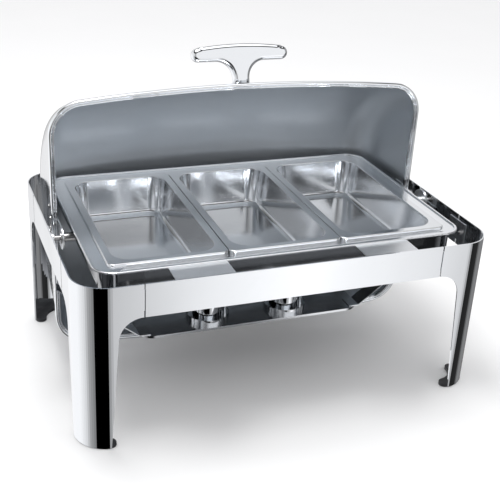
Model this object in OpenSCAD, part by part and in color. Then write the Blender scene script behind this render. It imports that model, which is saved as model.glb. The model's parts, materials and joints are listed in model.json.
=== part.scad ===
// Roll top chafing dish with three food pans, a water pan and two fuel cups.
// Millimetres, +Z up, the front faces -Y, the origin is on the table below the middle.
// The roll top is drawn open, standing on its edge behind the food pans.

/* [Food pans] */
// Length of the three food pans side by side
pans_length = 530; // [440:1:640]
// Depth of the food pans, front to back
pans_depth = 325; // [270:1:390]
// Height of one food pan
food_pan_h = 65; // [40:1:75]
// Width of the flat rim around a food pan
food_rim_w = 12; // [10:0.5:16]
// Inside corner radius of a food pan
food_corner_r = 28; // [18:1:34]
// Wall thickness of a food pan
food_wall = 0.9; // [0.6:0.1:1.5]
// Slope of the food pan walls, in degrees
food_taper = 5; // [1:0.5:8]

/* [Water pan] */
// How far the water pan rim shows beyond the food pans
water_margin = 22.5; // [16:0.5:30]
// Depth of the water pan below its rim
water_pan_h = 90; // [78:1:100]
// Wall thickness of the water pan
water_wall = 1.2; // [0.8:0.1:2]
// Outside corner radius of the water pan rim
water_corner_r = 32; // [24:1:40]

/* [Stand] */
// Height of the stand
stand_h = 258; // [236:1:300]
// Gap from the food pans to the outside of the stand, left and right
side_gap = 56.5; // [52:0.5:80]
// Gap from the food pans to the outside of the stand, front and back
front_gap = 58.5; // [54:0.5:80]
// Outside corner radius of the legs
corner_r = 49; // [35:1:60]
// Sheet thickness of legs and panels
sheet_t = 2; // [1:0.1:2.5]
// Height of the panel band
band_h = 50; // [44:1:64]
// Radius of the arch between panel and leg
arch_r = 34; // [15:1:45]
// Gap left between a panel and a leg
seam_gap = 2; // [0.5:0.1:3]
// Thickness of the foot pads
foot_t = 5; // [3:0.5:8]

/* [Roll top] */
// Wall thickness of the roll top
lid_t = 1.2; // [0.8:0.1:2]
// Radius of the soft bulge along the roll top
lid_bow_r = 2700; // [2000:50:6000]
// Radius where the roll top turns into its ends
lid_corner_r = 50; // [35:1:60]
// Depth of the rim band
rim_depth = 7; // [5:0.5:10]
// How far the rim band stands out of the roll top
rim_out = 3.5; // [2:0.5:5]
// How far the rim band stands into the roll top
rim_in = 4; // [2:0.5:5]

/* [Handle] */
// Length of the handle grip
grip_length = 158; // [120:1:190]
// Height of the handle above the roll top
handle_h = 63; // [50:1:75]
// Thickness of the handle
handle_t = 19; // [14:0.5:24]
// Lean of the handle behind the upright, in degrees
handle_lean = 16; // [12:0.5:24]

/* [Pivot] */
// Diameter of the pivot pins
pin_d = 8; // [6:0.5:10]
// Diameter of the spacer tubes on the pins
spacer_d = 14; // [12:0.5:18]
// Radius of the hinge ears and brackets
ear_r = 18; // [14:0.5:20]

/* [Fuel shelf] */
// Drop of the fuel shelf below the top edge of the stand
shelf_drop = 183; // [163:1:198]
// Length of the fuel shelf
shelf_length = 384; // [340:1:420]
// Depth of the fuel shelf, front to back
shelf_depth = 150; // [130:1:170]
// Slope of the shelf hangers, in degrees
hanger_slope = 38; // [30:1:45]
// Distance between the two fuel cups
cup_pitch = 136; // [128:1:200]
// Radius of the fuel cup
cup_r = 25; // [20:0.5:28]
// Height of the fuel cup
cup_h = 43; // [30:1:46]
// Radius of the dish around the fuel cup
dish_r = 36; // [33:0.5:42]

/* [Hidden] */
// true curves
$fn = 96;
tiny = 0.01;
cut = 1;

// stand outline
stand_w = pans_length + 2 * side_gap;
stand_d = pans_depth + 2 * front_gap;
half_w = stand_w / 2;
half_d = stand_d / 2;
in_w = half_w - sheet_t;
in_d = half_d - sheet_t;
band_z = stand_h - band_h;
seam_x = half_w - 92.5;
seam_y = half_d - 103;

// legs: width of the two faces at the arch and at the foot
front_face_top = 56.5;
front_face_foot = 45;
side_face_top = 64;
side_face_foot = 48;
leg_bottom = 1;
foot_w = 18;

// pivot axis of the roll top
axis_z = stand_h - 23;
rim_y = 24;
rim_web = 1;

// roll top: the rim clears the stand by a few millimetres
rim_clear_d = 2.5;
rim_clear_w = 11;
lid_r = in_d - rim_clear_d - rim_out;
lid_x = in_w - rim_clear_w - rim_out;

// pan carrier under the water pan rim
carrier_x = pans_length / 2 + 12;
carrier_y = pans_depth / 2 + 11;
carrier_t = 2;
carrier_h = 34;
carrier_r = 24;
tab_t = 1.5;
tab_near = 100;
tab_far = 186;

// water pan
water_rim_x = pans_length / 2 + water_margin;
water_rim_y = pans_depth / 2 + water_margin;
water_in_x = pans_length / 2 - 9;
water_in_y = pans_depth / 2 - 9;
water_in_r = 31;
water_top = stand_h + water_wall;
water_taper = 3;
water_fillet = 12;
water_bead_w = 5;
water_bead_h = 3;

// food pans
food_gap = 1;
food_pitch = (pans_length + food_gap) / 3;
food_len = food_pitch - food_gap;
food_lip = 3;
food_top = water_top + food_lip;
food_fillet = 9;
food_outer_r = 9;

// hinge ears lie against the inside of the rim band
ear_t = 2;
ear_out = lid_x - lid_t - rim_in;
ear_in = ear_out - ear_t;
ear_tail = 68;
ear_web = 4;
bore_play = 0.1;
side_play = 0.3;
rivet_d = 5;
rivet_head = 8;
rivet_head_t = 1.6;
rivet_y = 57;
rivet_z = 8;

// handle screws
screw_x = 8;
screw_d = 5;
screw_l = 11;
screw_head_d = 9;
screw_head_t = 3.5;
screw_washer_d = 12;
screw_washer_t = 1;
screw_seat = 0.15;

// pivot hardware
bracket_t = 2;
bracket_r = ear_r + 2;
hub_d = 16;
hub_l = 6.5;
nut_t = 5;
nut_d = 15;
washer_t = 1.2;
washer_d = 18;

// seams
plate_w = 46;
plate_h = 32;
plate_t = 1.5;
stud_d = 4;
stud_l = 6;
stud_reach = 13;
small_nut_t = 3;
small_nut_d = 8;

// fuel shelf and its hangers
shelf_z = stand_h - shelf_drop;
shelf_t = 1.2;
shelf_lip = 4;
shelf_r = 26;
shelf_front = -57;
hanger_w = 28;
hanger_y = -38;
hanger_t = 1.5;
hanger_foot = 18;
hanger_top = stand_h - 15;
hanger_stud_z = stand_h - 27;
cup_x = cup_pitch / 2;
cup_y = -14;
cup_wall = 1;
dish_h = 8;
post_x = 31;
post_r = 2.5;
snuffer_t = 1.2;
snuffer_r = cup_r + 3;
dome_rise = 7;
pin_depth = 12;
post_pin_d = 3;
pin_head_d = 7;
pin_head_t = 2;

// ---------- shared shapes ----------

// rounded rectangle about the middle, x and y are half sizes
module rounded(x, y, r) {
  square([2 * (x - r), 2 * y], center = true);
  square([2 * x, 2 * (y - r)], center = true);
  for (i = [-1, 1])
    for (j = [-1, 1])
      translate([i * (x - r), j * (y - r)])
        circle(r);
}

// flat frame between two rounded rectangles
module rounded_band(x, y, r, t) {
  difference() {
    rounded(x, y, r);
    rounded(x - t, y - t, r - t);
  }
}

// rod along X from x1 to x2
module rod(x1, x2, d) {
  translate([x1, 0, 0])
    rotate([0, 90, 0])
      cylinder(d = d, h = x2 - x1);
}

// both sides of the stand
module both_sides() {
  children();
  mirror([1, 0, 0])
    children();
}

// all four corners of the stand
module four_corners() {
  both_sides()
    children();
  mirror([0, 1, 0])
    both_sides()
      children();
}

// ---------- legs and panels ----------

// opening beside a leg: u runs from the middle of the stand to the corner
module arch_cut(half, face_top, face_foot, seam) {
  lean = atan((face_top - face_foot) / (band_z - arch_r));
  foot_u = half - face_foot;
  slope = tan(lean);
  arch_z = band_z - arch_r;
  arch_u = foot_u - slope * arch_z - arch_r / cos(lean);
  touch_z = arch_z + arch_r * sin(lean);
  translate([arch_u, arch_z])
    circle(arch_r);
  polygon([
    [seam - 10, -cut],
    [foot_u + slope * cut, -cut],
    [foot_u - slope * touch_z, touch_z],
    [arch_u, arch_z],
    [arch_u, band_z],
    [seam - 10, band_z]
  ]);
}

// one leg, drawn at the right rear corner
module leg() {
  difference() {
    translate([0, 0, leg_bottom])
      linear_extrude(stand_h - leg_bottom)
        intersection() {
          rounded_band(half_w, half_d, corner_r, sheet_t);
          translate([seam_x + seam_gap / 2, seam_y + seam_gap / 2])
            square([half_w, half_d]);
        }
    translate([0, half_d + cut, 0])
      rotate([90, 0, 0])
        linear_extrude(sheet_t + 2 * cut)
          arch_cut(half_w, front_face_top, front_face_foot, seam_x);
    translate([half_w - sheet_t - cut, 0, 0])
      rotate([90, 0, 90])
        linear_extrude(sheet_t + 2 * cut)
          arch_cut(half_d, side_face_top, side_face_foot, seam_y);
  }
}

module front_left_leg() {
  color("silver")
    mirror([1, 0, 0])
      mirror([0, 1, 0])
        leg();
}

module front_right_leg() {
  color("silver")
    mirror([0, 1, 0])
      leg();
}

module rear_left_leg() {
  color("silver")
    mirror([1, 0, 0])
      leg();
}

module rear_right_leg() {
  color("silver")
    leg();
}

// long panel, drawn at the rear
module long_panel() {
  color("silver")
    translate([-seam_x + seam_gap / 2, in_d, band_z])
      cube([2 * seam_x - seam_gap, sheet_t, band_h]);
}

// short panel, drawn at the right
module short_panel() {
  color("silver")
    translate([in_w, -seam_y + seam_gap / 2, band_z])
      cube([sheet_t, 2 * seam_y - seam_gap, band_h]);
}

module front_panel() {
  mirror([0, 1, 0])
    long_panel();
}

module rear_panel() {
  long_panel();
}

module left_panel() {
  mirror([1, 0, 0])
    short_panel();
}

module right_panel() {
  short_panel();
}

// ---------- seam joints ----------

// places a seam joint behind every seam, with +Z pointing away from the sheet
module at_seams() {
  mid_z = stand_h - band_h / 2;
  four_corners() {
    translate([seam_x, in_d, mid_z])
      rotate([90, 0, 0])
        children();
    translate([in_w, seam_y, mid_z])
      rotate([90, 0, -90])
        children();
  }
}

module at_studs() {
  at_seams()
    for (i = [-1, 1])
      translate([i * stud_reach, 0, 0])
        children();
}

module seam_plates() {
  color("silver")
    at_seams()
      difference() {
        translate([-plate_w / 2, -plate_h / 2, 0])
          cube([plate_w, plate_h, plate_t]);
        for (i = [-1, 1])
          translate([i * stud_reach, 0, -cut])
            cylinder(d = stud_d + bore_play, h = plate_t + 2 * cut);
      }
}

module seam_studs() {
  color("gray")
    at_studs()
      cylinder(d = stud_d, h = stud_l);
}

module seam_nuts() {
  color("gray")
    at_studs()
      translate([0, 0, plate_t])
        difference() {
          cylinder(d = small_nut_d, h = small_nut_t, $fn = 6);
          translate([0, 0, -cut])
            cylinder(d = stud_d + bore_play, h = small_nut_t + 2 * cut);
        }
}

// ---------- feet ----------

module foot_pads() {
  end_x = half_w - front_face_foot;
  end_y = half_d - side_face_foot;
  mid_r = corner_r - sheet_t - foot_w / 2;
  bend_x = half_w - corner_r;
  bend_y = half_d - corner_r;
  past_x = max(0, end_x - bend_x);
  past_y = max(0, end_y - bend_y);
  color("dimgray")
    four_corners()
      linear_extrude(foot_t) {
        intersection() {
          rounded_band(in_w, in_d, corner_r - sheet_t, foot_w);
          translate([end_x, end_y])
            square([half_w, half_d]);
        }
        translate([end_x, bend_y + sqrt(mid_r * mid_r - past_x * past_x)])
          circle(foot_w / 2);
        translate([bend_x + sqrt(mid_r * mid_r - past_y * past_y), end_y])
          circle(foot_w / 2);
      }
}

// ---------- pan carrier ----------

module pan_tab() {
  flange_h = 28;
  color("silver") {
    translate([tab_near, -in_d, stand_h - tab_t])
      cube([tab_far - tab_near, in_d - carrier_y, tab_t]);
    translate([tab_near, -in_d, stand_h - flange_h])
      cube([tab_far - tab_near, tab_t, flange_h - tab_t + tiny]);
  }
}

module left_pan_tab() {
  mirror([1, 0, 0])
    pan_tab();
}

module right_pan_tab() {
  pan_tab();
}

module pan_carrier() {
  color("silver")
    difference() {
      translate([0, 0, stand_h - carrier_h])
        linear_extrude(carrier_h)
          rounded_band(carrier_x, carrier_y, carrier_r, carrier_t);
      translate([0, 0, axis_z])
        rod(-carrier_x - cut, carrier_x + cut, pin_d + bore_play);
    }
}

// ---------- pivots ----------

module pivot_bracket() {
  color("silver")
    translate([0, 0, axis_z])
      difference() {
        union() {
          rod(in_w - bracket_t, in_w, 2 * bracket_r);
          rod(in_w - bracket_t - hub_l, in_w - bracket_t + tiny, hub_d);
        }
        rod(in_w - bracket_t - hub_l - cut, in_w + cut, pin_d + bore_play);
      }
}

module left_pivot_bracket() {
  mirror([1, 0, 0])
    pivot_bracket();
}

module right_pivot_bracket() {
  pivot_bracket();
}

module pivot_pins() {
  color("gray")
    both_sides()
      translate([0, 0, axis_z])
        rod(carrier_x - carrier_t - nut_t - 2, in_w, pin_d);
}

module pivot_spacers() {
  color("silver")
    both_sides()
      translate([0, 0, axis_z])
        difference() {
          rod(carrier_x, ear_in - side_play, spacer_d);
          rod(carrier_x - cut, ear_in + cut, pin_d + bore_play);
        }
}

module pivot_washers() {
  color("silver")
    both_sides()
      translate([0, 0, axis_z])
        difference() {
          rod(ear_out + side_play, ear_out + side_play + washer_t, washer_d);
          rod(ear_out - cut, ear_out + washer_t + 2 * cut, pin_d + bore_play);
        }
}

module pivot_nuts() {
  nut_x = carrier_x - carrier_t;
  color("gray")
    both_sides()
      translate([nut_x - nut_t, 0, axis_z])
        rotate([0, 90, 0])
          difference() {
            cylinder(d = nut_d, h = nut_t, $fn = 6);
            translate([0, 0, -cut])
              cylinder(d = pin_d + bore_play, h = nut_t + 2 * cut);
          }
}

// ---------- fuel shelf ----------

module fuel_shelf() {
  half_x = shelf_length / 2;
  half_y = shelf_depth / 2;
  color("silver")
    translate([0, shelf_front + half_y, shelf_z - shelf_lip]) {
      linear_extrude(shelf_lip)
        rounded_band(half_x, half_y, shelf_r, shelf_t);
      translate([0, 0, shelf_lip - shelf_t])
        linear_extrude(shelf_t)
          rounded(half_x, half_y, shelf_r);
    }
}

// bent strip from the shelf out to the side panel
module shelf_hanger() {
  foot_x = shelf_length / 2;
  wall_x = in_w - hanger_t;
  rise = tan(hanger_slope);
  low_turn = shelf_z + (in_w - foot_x) * rise;
  high_turn = shelf_z + hanger_t / cos(hanger_slope) + (wall_x - foot_x) * rise;
  bend = hanger_t * tan(hanger_slope / 2);
  color("silver")
    difference() {
      translate([0, hanger_y + hanger_w / 2, 0])
        rotate([90, 0, 0])
          linear_extrude(hanger_w)
            polygon([
              [foot_x - hanger_foot, shelf_z],
              [foot_x, shelf_z],
              [in_w, low_turn],
              [in_w, hanger_top],
              [wall_x, hanger_top],
              [wall_x, high_turn],
              [foot_x - bend, shelf_z + hanger_t],
              [foot_x - hanger_foot, shelf_z + hanger_t]
            ]);
      translate([0, hanger_y, hanger_stud_z])
        rod(in_w - hanger_t - cut, in_w + cut, stud_d + bore_play);
    }
}

module left_shelf_hanger() {
  mirror([1, 0, 0])
    shelf_hanger();
}

module right_shelf_hanger() {
  shelf_hanger();
}

module hanger_studs() {
  color("gray")
    both_sides()
      translate([0, hanger_y, hanger_stud_z])
        rod(in_w - stud_l, in_w, stud_d);
}

module hanger_nuts() {
  color("gray")
    both_sides()
      translate([in_w - hanger_t - small_nut_t, hanger_y, hanger_stud_z])
        rotate([0, 90, 0])
          difference() {
            cylinder(d = small_nut_d, h = small_nut_t, $fn = 6);
            translate([0, 0, -cut])
              cylinder(d = stud_d + bore_play, h = small_nut_t + 2 * cut);
          }
}

// ---------- roll top ----------

// half section of the roll top: x is the distance from the axis, y runs along it
module lid_section(grow) {
  bow = lid_bow_r + grow;
  round_r = lid_corner_r + grow;
  end = lid_x + grow;
  mid_r = lid_r - lid_bow_r;
  round_y = lid_x - lid_corner_r;
  round_x = mid_r + sqrt(pow(lid_bow_r - lid_corner_r, 2) - pow(round_y, 2));
  touch = round_y * bow / (lid_bow_r - lid_corner_r);
  intersection() {
    translate([mid_r, 0])
      circle(bow, $fn = 1440);
    translate([0, -touch])
      square([2 * lid_r, 2 * touch]);
  }
  translate([0, -end])
    square([round_x, 2 * end]);
  for (i = [-1, 1])
    translate([round_x, i * round_y])
      circle(round_r);
}

module lid_body(grow) {
  translate([0, 0, axis_z])
    rotate([0, 90, 0])
      rotate_extrude($fn = 180)
        lid_section(grow);
}

// keeps what lies between two upright planes
module slab(y1, y2) {
  translate([-half_w, y1, axis_z - half_d])
    cube([2 * half_w, y2 - y1, 2 * half_d]);
}

// the wall of the roll top, all the way round
module lid_wall() {
  difference() {
    lid_body(0);
    lid_body(-lid_t);
  }
}

module lid_shell() {
  color("silver")
    difference() {
      intersection() {
        lid_wall();
        slab(rim_y + rim_web, half_d);
      }
      at_handle_screws()
        cylinder(d = screw_d + bore_play, h = 30, center = true);
      at_rivets()
        rod(-rivet_head, rivet_head, rivet_d + bore_play);
    }
}

// channel that covers the edge of the roll top
module lid_rim() {
  color("gainsboro")
    difference() {
      intersection() {
        difference() {
          lid_body(rim_out);
          lid_body(-lid_t - rim_in);
        }
        slab(rim_y, rim_y + rim_depth);
      }
      intersection() {
        lid_wall();
        slab(rim_y + rim_web, rim_y + 2 * rim_depth);
      }
    }
}

// ---------- handle ----------

// places a part on the roll top under the handle, +Z pointing outwards
module on_lid() {
  translate([0, 0, axis_z])
    rotate([-handle_lean, 0, 0])
      translate([0, 0, lid_r])
        children();
}

module handle_outline() {
  end_r = 10.5;
  end_x = grip_length / 2 - end_r;
  end_z = handle_h - 16;
  crown = 4.5;
  crown_r = (end_x * end_x + crown * crown) / (2 * crown);
  crown_top = handle_h - crown_r;
  neck_x = 13;
  neck_r = 27;
  under = end_z - end_r;
  intersection() {
    translate([0, crown_top])
      circle(crown_r, $fn = 720);
    translate([-end_x, end_z - end_r])
      square([2 * end_x, handle_h]);
  }
  for (i = [-1, 1])
    translate([i * end_x, end_z])
      circle(end_r);
  difference() {
    translate([-neck_x - neck_r, 0])
      square([2 * (neck_x + neck_r), under + tiny]);
    for (i = [-1, 1]) {
      translate([i * (neck_x + neck_r), under - neck_r])
        circle(neck_r);
      translate([i * (neck_x + neck_r) - neck_r, -cut])
        square([2 * neck_r, under - neck_r + cut]);
    }
  }
}

module at_handle_screws() {
  on_lid()
    for (i = [-1, 1])
      translate([i * screw_x, 0, 0])
        children();
}

module lid_handle() {
  color("gainsboro")
    difference() {
      on_lid()
        rotate([90, 0, 0])
          translate([0, 0, -handle_t / 2])
            linear_extrude(handle_t)
              handle_outline();
      at_handle_screws()
        translate([0, 0, -cut])
          cylinder(d = screw_d + bore_play, h = screw_l + 2 * cut);
    }
}

module handle_screws() {
  head_z = -lid_t - screw_seat - screw_washer_t;
  color("gray")
    at_handle_screws() {
      translate([0, 0, head_z])
        cylinder(d = screw_d, h = screw_l - head_z);
      translate([0, 0, head_z - screw_head_t])
        cylinder(d = screw_head_d, h = screw_head_t);
    }
}

module handle_washers() {
  color("silver")
    at_handle_screws()
      translate([0, 0, -lid_t - screw_seat - screw_washer_t])
        difference() {
          cylinder(d = screw_washer_d, h = screw_washer_t);
          translate([0, 0, -cut])
            cylinder(d = screw_d + bore_play, h = screw_washer_t + 2 * cut);
        }
}

// ---------- hinge ears ----------

// side view of a hinge ear: x runs back from the axis, y up
module ear_side() {
  tail_r = 6;
  difference() {
    union() {
      circle(ear_r);
      translate([0, -ear_r])
        square([ear_tail - tail_r, 2 * ear_r]);
      translate([0, tail_r - ear_r])
        square([ear_tail, 2 * (ear_r - tail_r)]);
      for (i = [-1, 1])
        translate([ear_tail - tail_r, i * (ear_r - tail_r)])
          circle(tail_r);
    }
    circle(d = pin_d + bore_play);
    for (i = [-1, 1])
      translate([rivet_y, i * rivet_z])
        circle(d = rivet_d + bore_play);
  }
}

// top view of a hinge ear: the plate steps out behind the rim band
module ear_top() {
  wall_in = lid_x - lid_t;
  step_y = rim_y + rim_depth + 2;
  translate([ear_in, -ear_r])
    square([ear_t, step_y + ear_web + ear_r]);
  translate([ear_in, step_y])
    square([wall_in - ear_in, ear_web]);
  translate([wall_in - ear_t, step_y])
    square([ear_t, ear_tail - step_y]);
}

module hinge_ear() {
  color("silver")
    translate([0, 0, axis_z])
      intersection() {
        translate([0, 0, -2 * ear_r])
          linear_extrude(4 * ear_r)
            ear_top();
        translate([ear_in - cut, 0, 0])
          rotate([90, 0, 90])
            linear_extrude(rim_in + ear_t + 2 * cut)
              ear_side();
      }
}

module left_hinge_ear() {
  mirror([1, 0, 0])
    hinge_ear();
}

module right_hinge_ear() {
  hinge_ear();
}

module at_rivets() {
  both_sides()
    for (i = [-1, 1])
      translate([lid_x, rivet_y, axis_z + i * rivet_z])
        children();
}

module ear_rivets() {
  wall = lid_t + ear_t;
  color("gray")
    at_rivets() {
      rod(-wall - rivet_head_t, rivet_head_t, rivet_d);
      rod(0, rivet_head_t, rivet_head);
      rod(-wall - rivet_head_t, -wall, rivet_head);
    }
}

// ---------- pans ----------

// sweeps a section round a rounded rectangle; x of the section starts at the corner centres
module sweep(x, y, r) {
  for (k = [0 : 3]) {
    a = k % 2 == 0 ? x : y;
    b = k % 2 == 0 ? y : x;
    rotate([0, 0, 90 * k]) {
      translate([a - r, b - r, 0])
        rotate_extrude(angle = 90)
          children();
      translate([a - r, b - r, 0])
        rotate([90, 0, 0])
          linear_extrude(2 * (b - r))
            children();
    }
  }
}

// half of a tub, grown outwards by a wall: y is zero on the inside floor
module tub_half(r, h, taper, fillet, grow) {
  foot = r - h * tan(taper);
  mid = foot + fillet * tan(taper) - fillet / cos(taper);
  round_r = fillet + grow;
  polygon([
    [0, -grow],
    [mid, -grow],
    [mid, fillet],
    [mid + round_r * cos(taper), fillet - round_r * sin(taper)],
    [r + grow / cos(taper), h],
    [0, h]
  ]);
  translate([mid, fillet])
    circle(round_r);
}

// tub with sloping walls, x and y are half sizes of its mouth, its top is at zero
module tub(x, y, r, h, taper, fillet, t) {
  translate([0, 0, t - h]) {
    sweep(x, y, r)
      difference() {
        tub_half(r, h - t, taper, fillet, t);
        tub_half(r, h - t, taper, fillet, 0);
      }
    translate([r - x, r - y, -t])
      cube([2 * (x - r), 2 * (y - r), t]);
  }
}

module water_pan() {
  color("silver") {
    translate([0, 0, water_top])
      tub(water_in_x, water_in_y, water_in_r, water_pan_h, water_taper, water_fillet, water_wall);
    translate([0, 0, stand_h])
      linear_extrude(water_wall)
        difference() {
          rounded(water_rim_x, water_rim_y, water_corner_r);
          rounded(water_in_x, water_in_y, water_in_r);
        }
    translate([0, 0, stand_h])
      linear_extrude(water_bead_h)
        rounded_band(water_rim_x, water_rim_y, water_corner_r, water_bead_w);
  }
}

module food_pan() {
  x = food_len / 2;
  y = pans_depth / 2;
  color("whitesmoke") {
    translate([0, 0, food_top])
      tub(x - food_rim_w, y - food_rim_w, food_corner_r, food_pan_h, food_taper,
          food_fillet, food_wall);
    translate([0, 0, food_top - food_wall])
      linear_extrude(food_wall)
        difference() {
          rounded(x, y, food_outer_r);
          rounded(x - food_rim_w, y - food_rim_w, food_corner_r);
        }
    translate([0, 0, water_top])
      linear_extrude(food_lip)
        rounded_band(x, y, food_outer_r, food_wall);
  }
}

module left_food_pan() {
  translate([-food_pitch, 0, 0])
    food_pan();
}

module middle_food_pan() {
  food_pan();
}

module right_food_pan() {
  translate([food_pitch, 0, 0])
    food_pan();
}

// ---------- fuel cups ----------

module fuel_cup() {
  color("silver")
    difference() {
      union() {
        cylinder(r = dish_r, h = dish_h);
        cylinder(r = cup_r, h = cup_h);
        translate([post_x, 0, 0])
          cylinder(r = post_r, h = cup_h);
      }
      difference() {
        translate([0, 0, cup_wall])
          cylinder(r = dish_r - cup_wall, h = cup_h);
        cylinder(r = cup_r, h = cup_h);
        translate([post_x, 0, 0])
          cylinder(r = post_r, h = cup_h);
      }
      translate([0, 0, cup_wall])
        cylinder(r = cup_r - cup_wall, h = cup_h);
      translate([post_x, 0, cup_h - pin_depth])
        cylinder(d = post_pin_d + bore_play, h = cup_h);
    }
}

// swinging cover over the cup with a finger lever
module snuffer() {
  lever_l = 15;
  lever_w = 8;
  dome_r = snuffer_r - 3;
  ball_r = (dome_r * dome_r + dome_rise * dome_rise) / (2 * dome_rise);
  color("gainsboro")
    translate([0, 0, cup_h + side_play]) {
      difference() {
        union() {
          cylinder(r = snuffer_r, h = snuffer_t);
          translate([0, -lever_w / 2, 0])
            cube([post_x + lever_l, lever_w, snuffer_t]);
          translate([post_x + lever_l, 0, 0])
            cylinder(r = lever_w / 2, h = snuffer_t);
        }
        translate([post_x, 0, -cut])
          cylinder(d = post_pin_d + bore_play, h = snuffer_t + 2 * cut);
        translate([0, 0, -cut])
          cylinder(r = dome_r - snuffer_t, h = snuffer_t + 2 * cut);
      }
      rotate_extrude()
        intersection() {
          difference() {
            translate([0, dome_rise - ball_r])
              circle(ball_r, $fn = 360);
            translate([0, dome_rise - ball_r])
              circle(ball_r - snuffer_t, $fn = 360);
          }
          square([dome_r + snuffer_t, dome_rise + snuffer_t]);
        }
    }
}

module snuffer_pin() {
  base = cup_h - pin_depth + 1;
  top = cup_h + 2 * side_play + snuffer_t;
  color("gray")
    translate([post_x, 0, 0]) {
      translate([0, 0, base])
        cylinder(d = post_pin_d, h = top - base + tiny);
      translate([0, 0, top])
        cylinder(d = pin_head_d, h = pin_head_t);
    }
}

module at_left_cup() {
  translate([-cup_x, cup_y, shelf_z])
    children();
}

module at_right_cup() {
  translate([cup_x, cup_y, shelf_z])
    children();
}

module left_fuel_cup() {
  at_left_cup()
    fuel_cup();
}

module right_fuel_cup() {
  at_right_cup()
    fuel_cup();
}

module left_snuffer() {
  at_left_cup()
    snuffer();
}

module right_snuffer() {
  at_right_cup()
    snuffer();
}

module left_snuffer_pin() {
  at_left_cup()
    snuffer_pin();
}

module right_snuffer_pin() {
  at_right_cup()
    snuffer_pin();
}

// ---------- assembly ----------

front_left_leg();
front_right_leg();
rear_left_leg();
rear_right_leg();
front_panel();
rear_panel();
left_panel();
right_panel();
seam_plates();
seam_studs();
seam_nuts();
foot_pads();
left_pan_tab();
right_pan_tab();
pan_carrier();
left_pivot_bracket();
right_pivot_bracket();
pivot_pins();
pivot_spacers();
pivot_washers();
pivot_nuts();
fuel_shelf();
left_shelf_hanger();
right_shelf_hanger();
hanger_studs();
hanger_nuts();
lid_shell();
lid_rim();
lid_handle();
handle_screws();
handle_washers();
left_hinge_ear();
right_hinge_ear();
ear_rivets();
water_pan();
left_food_pan();
middle_food_pan();
right_food_pan();
left_fuel_cup();
right_fuel_cup();
left_snuffer();
right_snuffer();
left_snuffer_pin();
right_snuffer_pin();
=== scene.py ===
import json
import math

import bmesh
import bpy
from mathutils import Matrix, Vector


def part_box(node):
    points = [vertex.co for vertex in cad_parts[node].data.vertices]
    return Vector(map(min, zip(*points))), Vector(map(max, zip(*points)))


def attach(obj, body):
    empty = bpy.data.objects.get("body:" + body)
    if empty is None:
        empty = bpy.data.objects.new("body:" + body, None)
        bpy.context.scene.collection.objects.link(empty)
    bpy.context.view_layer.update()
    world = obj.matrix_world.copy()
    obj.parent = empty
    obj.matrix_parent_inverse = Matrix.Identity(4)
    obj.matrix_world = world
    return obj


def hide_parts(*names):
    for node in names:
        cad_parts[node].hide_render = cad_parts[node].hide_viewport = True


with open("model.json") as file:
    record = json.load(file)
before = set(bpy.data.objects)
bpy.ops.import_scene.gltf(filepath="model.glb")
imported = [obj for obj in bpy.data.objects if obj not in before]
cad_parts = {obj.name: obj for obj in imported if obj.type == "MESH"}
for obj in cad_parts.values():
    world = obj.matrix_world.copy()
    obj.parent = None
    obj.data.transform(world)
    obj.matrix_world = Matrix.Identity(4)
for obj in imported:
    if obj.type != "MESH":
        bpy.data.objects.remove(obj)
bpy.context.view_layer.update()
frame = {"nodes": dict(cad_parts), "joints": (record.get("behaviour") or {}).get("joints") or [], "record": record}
nodes = frame["nodes"]


# ---------- shader arithmetic ----------

# where a colour mix keeps its factor, its two colours and its result
MIX_FACTOR = 0
MIX_FIRST = 6
MIX_SECOND = 7
MIX_COLOUR = 2


class Signal:
    """A shader socket that takes part in sums and products."""

    def __init__(self, finish, socket):
        self.finish = finish
        self.socket = socket

    def combined(self, operation, other, clamp=False):
        settings = {"operation": operation, "use_clamp": clamp}
        return self.finish.node("ShaderNodeMath", settings, {0: self, 1: other})

    def __add__(self, other):
        return self.combined("ADD", other)

    __radd__ = __add__

    def __sub__(self, other):
        return self.combined("SUBTRACT", other)

    def __rsub__(self, other):
        return (self * -1.0) + other

    def __mul__(self, other):
        return self.combined("MULTIPLY", other)

    __rmul__ = __mul__

    def __truediv__(self, other):
        return self.combined("DIVIDE", other)

    def kept(self):
        """The value held between 0 and 1."""
        return self.combined("ADD", 0.0, clamp=True)

    def step(self, low, high):
        """0 below low, 1 above high, smooth between."""
        settings = {"interpolation_type": "SMOOTHSTEP"}
        inputs = {"Value": self, "From Min": low, "From Max": high}
        return self.finish.node("ShaderNodeMapRange", settings, inputs)


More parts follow.
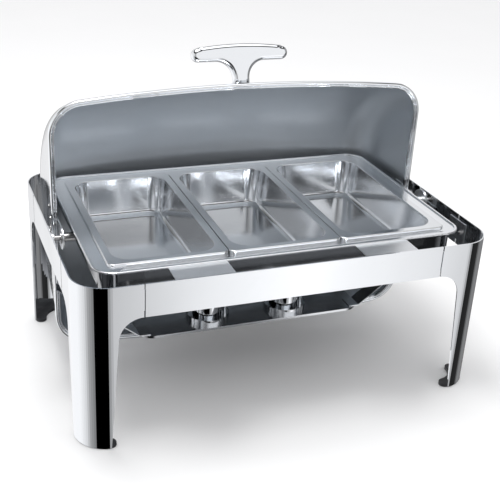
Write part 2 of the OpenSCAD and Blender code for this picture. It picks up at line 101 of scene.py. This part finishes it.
class Finish:
    """A material, or the world, while its nodes are being laid down."""

    def __init__(self, tree):
        self.tree = tree
        tree.nodes.clear()

    def node(self, kind, settings=None, inputs=None, output=0):
        made = self.tree.nodes.new(kind)
        for name, value in (settings or {}).items():
            if name == "stops":
                ramp = made.color_ramp
                while len(ramp.elements) > 1:
                    ramp.elements.remove(ramp.elements[-1])
                for index, (place, colour) in enumerate(value):
                    stop = ramp.elements[0] if index == 0 else ramp.elements.new(place)
                    stop.position = place
                    stop.color = colour
            else:
                setattr(made, name, value)
        for name, value in (inputs or {}).items():
            if isinstance(value, Signal):
                self.tree.links.new(value.socket, made.inputs[name])
            else:
                made.inputs[name].default_value = value
        return Signal(self, made.outputs[output]) if len(made.outputs) else None

    def place(self):
        """Where the surface is on its own piece, in metres."""
        return self.node("ShaderNodeTexCoord", output="Object")

    def parts_of(self, vector):
        """The three numbers of a vector."""
        split = self.node("ShaderNodeSeparateXYZ", None, {"Vector": vector})
        outputs = split.socket.node.outputs
        return [Signal(self, outputs[i]) for i in range(3)]

    def stretched(self, vector, x, y, z):
        """Coordinates scaled along each axis, so that a pattern runs long or short."""
        return self.node("ShaderNodeMapping", None, {"Vector": vector, "Scale": (x, y, z)})

    def noise(self, vector, scale, detail=3.0, rough=0.55, warp=0.0):
        inputs = {"Vector": vector, "Scale": scale, "Detail": detail,
                  "Roughness": rough, "Distortion": warp}
        return self.node("ShaderNodeTexNoise", None, inputs, "Fac")

    def cells(self, vector, scale):
        inputs = {"Vector": vector, "Scale": scale}
        return self.node("ShaderNodeTexVoronoi", None, inputs, "Distance")

    def surface(self, kind, inputs):
        """Ends the material in a shader of one kind."""
        shader = self.node(kind, None, inputs)
        self.node("ShaderNodeOutputMaterial", None, {"Surface": shader})

    def between(self, mask, first, second):
        """A colour that goes from the first to the second as the mask rises."""
        inputs = {MIX_FACTOR: mask, MIX_FIRST: first, MIX_SECOND: second}
        return self.node("ShaderNodeMix", {"data_type": "RGBA"}, inputs, MIX_COLOUR)


def new_surface(name):
    """A new material, and the finish that its nodes are laid down with."""
    material = bpy.data.materials.new(name)
    material.use_nodes = True
    return material, Finish(material.node_tree)


def grey(value, warm=0.0):
    """A steel colour a little to the blue, or to the yellow where warm is positive."""
    return (value * (1.0 + warm), value, value * (1.0 - warm) + 0.004, 1.0)


def bumped(finish, heights):
    """Small dents and grain: each height is a signal with its depth in metres."""
    normal = None
    for height, depth in heights:
        inputs = {"Height": height, "Distance": depth, "Strength": 1.0}
        if normal is not None:
            inputs["Normal"] = normal
        normal = finish.node("ShaderNodeBump", None, inputs)
    return normal


def steel(name, light, dark, rough, grain=(1.0, 1.0, 1.0), grain_scale=900.0,
          smear=0.03, wave_depth=0.0, wear=0.0, warm=-0.020, shaded_below=None):
    """Stainless steel: polish smears, a run of fine grain and a slow wave in the sheet.

    Light and dark are the ends of its tone, and rough is its mean roughness. Grain
    stretches the run of fine grain. Below the height shaded_below the steel is left
    rougher, and painted dark grey as shade inside the stand.
    """
    material, finish = new_surface(name)
    place = finish.place()
    slow = finish.noise(place, 9.0, 2.0, 0.5)
    cloud = finish.noise(place, 34.0, 4.0, 0.6, 0.4)
    run = finish.noise(finish.stretched(place, *grain), grain_scale, 3.0, 0.6)
    speck = finish.cells(place, 260.0)
    wiped = finish.noise(finish.stretched(place, 1.0, 6.0, 2.5), 14.0, 5.0, 0.65, 1.2)
    smears = (wiped.step(0.52, 0.74) * cloud).kept()
    marks = (1.0 - speck.step(0.02, 0.10)) * cloud.step(0.45, 0.7)
    tone = (cloud * 0.5 + run * 0.3 + slow * 0.2).kept()
    colour = finish.between(tone, grey(dark, warm), grey(light, warm))
    roughness = rough + smears * smear + (run - 0.5) * (smear * 1.2) + marks * wear
    # painted shade: below that height the colour turns dark grey, standing in for the shade inside the stand; the
    # roughness rises too
    if shaded_below is not None:
        height = finish.parts_of(place)[2]
        above_shade_line = (height + cloud * 0.002).step(shaded_below - 0.004, shaded_below)
        colour = finish.between(above_shade_line, grey(0.32, warm), colour)
        roughness = roughness + (1.0 - above_shade_line) * 0.10
    inputs = {"Base Color": colour, "Metallic": 1.0, "Roughness": roughness.kept()}
    if wave_depth:
        inputs["Normal"] = bumped(finish, [(finish.noise(place, 7.0, 1.0, 0.4), wave_depth)])
    finish.surface("ShaderNodeBsdfPrincipled", inputs)
    return material


def rubber(name):
    """Matt dark rubber with a fine moulded grain and a little dust."""
    material, finish = new_surface(name)
    place = finish.place()
    dust = finish.noise(place, 60.0, 4.0, 0.6)
    grain = finish.noise(place, 1400.0, 2.0, 0.6)
    colour = finish.between(dust.step(0.45, 0.8), (0.022, 0.023, 0.026, 1), (0.075, 0.078, 0.084, 1))
    inputs = {"Base Color": colour, "Roughness": (0.48 + dust * 0.25).kept(),
              "Normal": bumped(finish, [(grain, 0.00012)])}
    finish.surface("ShaderNodeBsdfPrincipled", inputs)
    return material


def roof_steel(name, axis_height):
    """The roll top: satin inside, mirror bright outside."""
    material, finish = new_surface(name)
    place = finish.place()
    x, y, z = finish.parts_of(place)
    normal = finish.node("ShaderNodeNewGeometry", output="Normal")
    nx, ny, nz = finish.parts_of(normal)
    outward = (y * ny + (z - axis_height) * nz + x * nx * 0.55).step(-0.02, 0.02)
    haze = finish.noise(place, 11.0, 3.0, 0.55, 0.6)
    brush = finish.noise(finish.stretched(place, 1.0, 40.0, 40.0), 26.0, 5.0, 0.7)
    satin = finish.between((haze * 0.7 + brush * 0.3).kept(), (0.79, 0.835, 0.88, 1), (0.87, 0.905, 0.94, 1))
    bright = finish.between(haze, (0.80, 0.81, 0.83, 1), (0.92, 0.93, 0.94, 1))
    colour = finish.between(outward, satin, bright)
    rough_in = 0.46 + (brush - 0.5) * 0.12 + (haze - 0.5) * 0.08
    rough_out = 0.06 + haze * 0.03
    roughness = rough_in * (1.0 - outward) + rough_out * outward
    dents = finish.noise(place, 6.0, 1.0, 0.4)
    brushed = brush * (1.0 - outward)
    inputs = {"Base Color": colour, "Metallic": 1.0, "Roughness": roughness.kept(),
              "Normal": bumped(finish, [(dents, 0.0012), (brushed, 0.00002)])}
    finish.surface("ShaderNodeBsdfPrincipled", inputs)
    return material


ALONG = (1.0, 30.0, 1.0)
UPRIGHT = (1.0, 1.0, 30.0)
ACROSS = (30.0, 1.0, 1.0)

pivot_height = next(j for j in frame["joints"] if j["name"] == "lid_hinge")["pos_m"][2]
water_rim_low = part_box("water_pan")[1].z - 0.004

stand_polish = steel("stand_polish", light=0.95, dark=0.90, rough=0.035,
                     grain=UPRIGHT, grain_scale=700.0, wave_depth=0.0006)
roof_polish = roof_steel("roof_polish", pivot_height)
trim_polish = steel("trim_polish", light=0.97, dark=0.92, rough=0.05)
food_pan_satin = steel("food_pan_satin", light=0.93, dark=0.82, rough=0.13,
                       grain=ACROSS, grain_scale=60.0, smear=0.06, wave_depth=0.0005)
# the water pan below its rim gets painted shade
water_pan_polish = steel("water_pan_polish", light=0.97, dark=0.91, rough=0.17,
                         grain=ALONG, grain_scale=60.0, smear=0.05, wave_depth=0.0005,
                         shaded_below=water_rim_low)
shelf_polish = steel("shelf_polish", light=0.86, dark=0.70, rough=0.16,
                     grain=ALONG, grain_scale=60.0, smear=0.05, wave_depth=0.0005)
cup_polish = steel("cup_polish", light=0.92, dark=0.86, rough=0.06,
                   grain=UPRIGHT, grain_scale=500.0)
bracket_satin = steel("bracket_satin", light=0.97, dark=0.92, rough=0.30,
                      grain=ALONG, grain_scale=90.0, smear=0.08)
# painted shade: a darker copy of the steel for the pan carrier, standing in for the shade it sits in inside the
# stand
carrier_shaded_steel = steel("carrier_shaded_steel", light=0.40, dark=0.28, rough=0.12,
                     grain=UPRIGHT, grain_scale=90.0, smear=0.06)
zinc_plate = steel("zinc_plate", light=0.66, dark=0.50, rough=0.20,
                   grain_scale=500.0, smear=0.06, wear=0.1, warm=0.012)
pad_rubber = rubber("pad_rubber")

slot_finish = {
    "polished_steel": stand_polish,
    "lid_steel": roof_polish,
    "bright_trim": trim_polish,
    "food_pan_steel": food_pan_satin,
    "water_pan_steel": water_pan_polish,
    "shelf_steel": shelf_polish,
    "cup_steel": cup_polish,
    "bracket_steel": bracket_satin,
    "fastener_steel": zinc_plate,
    "foot_rubber": pad_rubber,
}
for part in frame["record"]["subparts"]:
    cad_part = nodes[part["node"]]
    surface = slot_finish[part["material_slot"]]
    # the pan carrier takes the darker steel that paints its shade
    if part["node"] == "pan_carrier":
        surface = carrier_shaded_steel
    for place in cad_part.material_slots:
        place.material = surface


# ---------- finished pieces ----------

def copied(name):
    """A merged copy of a CAD part as a bmesh, with its flat faces whole."""
    bm = bmesh.new()
    bm.from_mesh(nodes[name].data)
    bmesh.ops.remove_doubles(bm, verts=bm.verts, dist=0.00001)
    bmesh.ops.dissolve_limit(bm, angle_limit=math.radians(0.4), verts=bm.verts, edges=bm.edges)
    return bm


def rounded_edges(bm, edges, width, segments):
    """Rounds some edges of a bmesh."""
    bmesh.ops.bevel(bm, geom=edges, offset=width, offset_type="OFFSET", affect="EDGES",
                    segments=segments, profile=0.5, clamp_overlap=False, material=-1)


def finished(bm, name, material, body, sharp=35.0):
    """Turns a bmesh into a piece that rides on a body."""
    mesh = bpy.data.meshes.new(name)
    bm.to_mesh(mesh)
    bm.free()
    mesh.shade_smooth()
    mesh.set_sharp_from_angle(angle=math.radians(sharp))
    mesh.materials.append(material)
    piece = bpy.data.objects.new(name, mesh)
    bpy.context.scene.collection.objects.link(piece)
    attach(piece, body)
    return piece


def cast_handle():
    """The T handle as a smooth casting, flat only where it stands on the roll top."""
    bm = copied("lid_handle")
    upright = [f for f in bm.faces if abs(f.normal.x) < 0.01]
    across = max(upright, key=lambda f: f.calc_area()).normal.copy()
    down = across.cross(Vector((1, 0, 0)))
    foot_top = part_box("lid_handle")[0].z + 0.006
    outline = []
    for edge in bm.edges:
        sides = [f for f in edge.link_faces if abs(f.normal.dot(across)) > 0.99]
        ends = [f for f in edge.link_faces if abs(f.normal.dot(across)) < 0.5]
        if len(sides) == 1 and len(ends) == 1:
            end = ends[0]
            is_foot = abs(end.normal.dot(down)) > 0.999 and end.calc_center_median().z < foot_top
            if not is_foot:
                outline.append(edge)
    rounded_edges(bm, outline, 0.0070, 9)
    bmesh.ops.recalc_face_normals(bm, faces=bm.faces)
    piece = finished(bm, "cast_handle", trim_polish, "roll_top", 45.0)
    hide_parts("lid_handle")


def arc(centre, radius, first, last, count):
    """Points on an arc, with the angles in degrees."""
    points = []
    for index in range(count + 1):
        angle = math.radians(first + (last - first) * index / count)
        points.append((centre[0] + radius * math.cos(angle), centre[1] + radius * math.sin(angle)))
    return points


def outer_loop(bm, front):
    """The points round the outside of a flat ring, in order."""
    faces = set(front)
    following = {}
    for face in front:
        for corner in face.loops:
            if any(f not in faces for f in corner.edge.link_faces):
                following[corner.vert] = corner.link_loop_next.vert
    loops = []
    while following:
        start = next(iter(following))
        loop = [start]
        while following[loop[-1]] is not start:
            loop.append(following.pop(loop[-1]))
        following.pop(loop[-1])
        loops.append([vert.co.copy() for vert in loop])
    return max(loops, key=lambda loop: max(p.x for p in loop))


def rim_section(width, depth):
    """Half of a rolled bead, a groove, a small bead and a flange: inward, then back from the front."""
    bead = 0.0027
    small_bead = 0.0012
    groove = (2 * bead, 0.0024)
    small_centre = (0.0067, 0.0021)
    flange = [(0.0080, 0.0024), (width - 0.0002, 0.0026), (width, 0.0029)]
    points = arc((bead, bead), bead, 180, 338, 12)
    points.append(groove)
    points += arc(small_centre, small_bead, 185, 350, 7)
    return points + flange + [(width, depth), (0.0, depth)]


def rolled_rim():
    """The rim band swept round the mouth of the roll top."""
    band_width = 0.0087
    bm = copied("lid_rim")
    path = outer_loop(bm, [f for f in bm.faces if f.normal.y < -0.99])
    bm.free()
    low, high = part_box("lid_rim")
    middle = (low + high) / 2
    section = rim_section(band_width, high.y - low.y)
    bm = bmesh.new()
    rings = []
    for index, here in enumerate(path):
        run = (path[(index + 1) % len(path)] - here).normalized() + (here - path[index - 1]).normalized()
        inward = run.normalized().cross(Vector((0, 1, 0)))
        if inward.dot(middle - here) < 0:
            inward = -inward
        rings.append([bm.verts.new(here + inward * d + Vector((0, back, 0))) for d, back in section])
    for index, ring in enumerate(rings):
        before = rings[index - 1]
        for k in range(len(section)):
            bm.faces.new((before[k - 1], ring[k - 1], ring[k], before[k]))
    bmesh.ops.recalc_face_normals(bm, faces=bm.faces)
    piece = finished(bm, "rolled_rim", trim_polish, "roll_top", 50.0)
    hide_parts("lid_rim")


def rounded_pan(name, width, lowest, material, body):
    """A pan with the outer and mouth edges of its rim rolled over."""
    bm = copied(name)
    rim = []
    for edge in bm.edges:
        if len(edge.link_faces) == 2 and edge.is_convex and edge.calc_face_angle() > 0.9:
            if min(v.co.z for v in edge.verts) > lowest:
                rim.append(edge)
    rounded_edges(bm, rim, width, 4)
    piece = finished(bm, "rolled_" + name, material, body, 40.0)
    even = piece.modifiers.new("even_normals", "WEIGHTED_NORMAL")
    even.keep_sharp = True
    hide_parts(name)


cast_handle()
rolled_rim()
rounded_pan("water_pan", 0.0017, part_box("water_pan")[1].z - 0.0005,
            water_pan_polish, "water_bath")
food_rim_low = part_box("middle_food_pan")[1].z - 0.0003
for side in ("left", "middle", "right"):
    rounded_pan(side + "_food_pan", 0.0016, food_rim_low,
                food_pan_satin, "food_" + side)


# ---------- table, light and camera ----------

def table_paint():
    """Matt pale paint with a faint mottle."""
    material, finish = new_surface("table_paint")
    mottle = finish.noise(finish.place(), 3.0, 2.0, 0.5)
    colour = finish.between(mottle, (0.90, 0.90, 0.90, 1), (0.92, 0.92, 0.92, 1))
    inputs = {"Base Color": colour, "Roughness": 0.8, "Specular IOR Level": 0.1}
    finish.surface("ShaderNodeBsdfPrincipled", inputs)
    return material


def painted_floor_shade():
    """Painted shade of the floor under the stand: a glowing sheet that polished steel mirrors, dark in the middle
    and lighter at its edge.
    """
    material, finish = new_surface("painted_floor_shade")
    place = finish.place()
    x, y = finish.parts_of(place)[:2]
    shade_edge_noise = finish.noise(place, 8.0, 2.0, 0.5)
    # painted shade: dark in the middle, lighter towards the rim of the sheet
    edge = (x * x + y * y + shade_edge_noise * 0.01).step(0.010, 0.060)
    colour = finish.between(edge, (0.03, 0.031, 0.034, 1), (0.26, 0.265, 0.28, 1))
    finish.surface("ShaderNodeEmission", {"Color": colour, "Strength": 1.0})
    return material


def table_sheet(name, radius, stretch, height, material):
    """A flat round or oval sheet, its depth stretched."""
    bm = bmesh.new()
    bmesh.ops.create_circle(bm, cap_ends=True, segments=96, radius=radius)
    bmesh.ops.scale(bm, verts=bm.verts, vec=(1.0, stretch, 1.0))
    bmesh.ops.translate(bm, verts=bm.verts, vec=(0, 0, height))
    mesh = bpy.data.meshes.new(name)
    bm.to_mesh(mesh)
    bm.free()
    mesh.materials.append(material)
    sheet = bpy.data.objects.new(name, mesh)
    bpy.context.scene.collection.objects.link(sheet)
    return sheet


def table_top():
    """A wide pale table, and a sheet of painted shade under the stand that only polished steel sees."""
    table = table_sheet("table_top", 14.0, 1.0, -0.0002, table_paint())
    table.visible_glossy = False
    # painted shade: a dark glowing sheet under the stand, seen only in polished steel, stands in for the shaded
    # floor there
    shade = table_sheet("painted_shade_card", 0.30, 0.64, 0.0005, painted_floor_shade())
    shade.visible_camera = False
    shade.visible_diffuse = False
    shade.visible_shadow = False


def tone(value):
    """A studio grey."""
    return (value, value, value * 1.01, 1.0)


def ring(finish, around, marks):
    """Walls whose tone runs round the room: each mark is an angle from the front and a tone."""
    stops = [(degrees / 360.0 + 0.5, tone(value)) for degrees, value in marks]
    return finish.node("ShaderNodeValToRGB", {"stops": stops}, {"Fac": around})


def studio_walls():
    """Bright studio with dark gaps, so that polished steel has something to reflect."""
    world = bpy.data.worlds.new("studio")
    bpy.context.scene.world = world
    world.use_nodes = True
    finish = Finish(world.node_tree)
    direction = finish.node("ShaderNodeTexCoord", output="Generated")
    x, y, z = finish.parts_of(direction)
    turn = finish.node("ShaderNodeMath", {"operation": "ARCTAN2"}, {0: x, 1: y * -1.0})
    around = turn / (2 * math.pi) + 0.5

    # below eye level: a bright front, black gaps at both front corners, bright left side
    low = ring(finish, around, [
        (-180, 0.60), (-168, 1.15), (-110, 1.15), (-84, 0.85), (-68, 0.42), (-50, 0.24),
        (-46, 0.0), (-2, 0.0), (2, 0.46), (10, 0.54), (14, 0.72), (20, 1.06), (26, 1.30),
        (33, 1.02), (37, 0.80), (46, 0.60), (54, 0.02), (80, 0.03), (92, 0.24),
        (116, 0.26), (136, 0.06), (150, 0.02), (180, 0.60)])
    # above eye level: the same with softer gaps
    mid = ring(finish, around, [
        (-180, 0.80), (-130, 1.05), (-80, 0.90), (-60, 0.80), (-38, 0.60), (-22, 0.22),
        (-6, 1.0), (40, 1.05), (62, 0.38), (128, 0.38), (146, 1.0), (180, 0.80)])
    beneath = finish.between(z.step(-0.92, -0.70), tone(0.04), low)
    walls = finish.between(z.step(-0.14, 0.06), beneath, mid)
    # a dark band round the bright ceiling
    walls = finish.between(z.step(0.52, 0.60), walls, tone(0.08))
    walls = finish.between(z.step(0.80, 0.86), walls, tone(1.7))
    # even light for matt surfaces and a white backdrop for the camera
    spread = finish.node("ShaderNodeLightPath", output="Is Diffuse Ray")
    lit = finish.between(spread, walls, tone(1.08))
    seen = finish.node("ShaderNodeLightPath", output="Is Camera Ray")
    shown = finish.between(seen, lit, tone(1.2))
    shader = finish.node("ShaderNodeBackground", None, {"Color": shown, "Strength": 0.88})
    finish.node("ShaderNodeOutputWorld", None, {"Surface": shader})


def soft_light(name, place, aim, width, depth, power):
    """A rectangular soft light that looks at a point."""
    lamp = bpy.data.lights.new(name, "AREA")
    lamp.shape = "RECTANGLE"
    lamp.size = width
    lamp.size_y = depth
    lamp.energy = power
    holder = bpy.data.objects.new(name, lamp)
    holder.location = place
    holder.rotation_mode = "QUATERNION"
    holder.rotation_quaternion = (Vector(aim) - Vector(place)).to_track_quat("-Z", "Y")
    bpy.context.scene.collection.objects.link(holder)


def view_camera():
    """The camera stands to the left of the front and looks down, tilted a little."""
    turn, drop, tilt = (math.radians(a) for a in (-22.15, 25.35, 3.27))
    across = Vector((math.cos(turn), math.sin(turn), 0))
    ahead = Vector((-math.sin(turn) * math.cos(drop), math.cos(turn) * math.cos(drop), -math.sin(drop)))
    above = across.cross(ahead)
    side = across * math.cos(tilt) + above * math.sin(tilt)
    top = above * math.cos(tilt) - across * math.sin(tilt)
    stand_point = Vector((-0.5155, -1.2846, 0.8347))
    holder = bpy.data.objects.new("view_camera", bpy.data.cameras.new("view_camera"))
    holder.data.lens = 67.33
    holder.data.sensor_width = 36.0
    holder.data.clip_end = 60.0
    turned = Matrix((side, top, -ahead)).transposed().to_4x4()
    holder.matrix_world = Matrix.Translation(stand_point) @ turned
    bpy.context.scene.collection.objects.link(holder)
    bpy.context.scene.camera = holder


view_camera()
table_top()
studio_walls()
soft_light("overhead", (-0.35, 0.15, 2.3), (0, 0, 0), 0.9, 0.7, 23.0)
bpy.context.scene.view_settings.view_transform = "Standard"
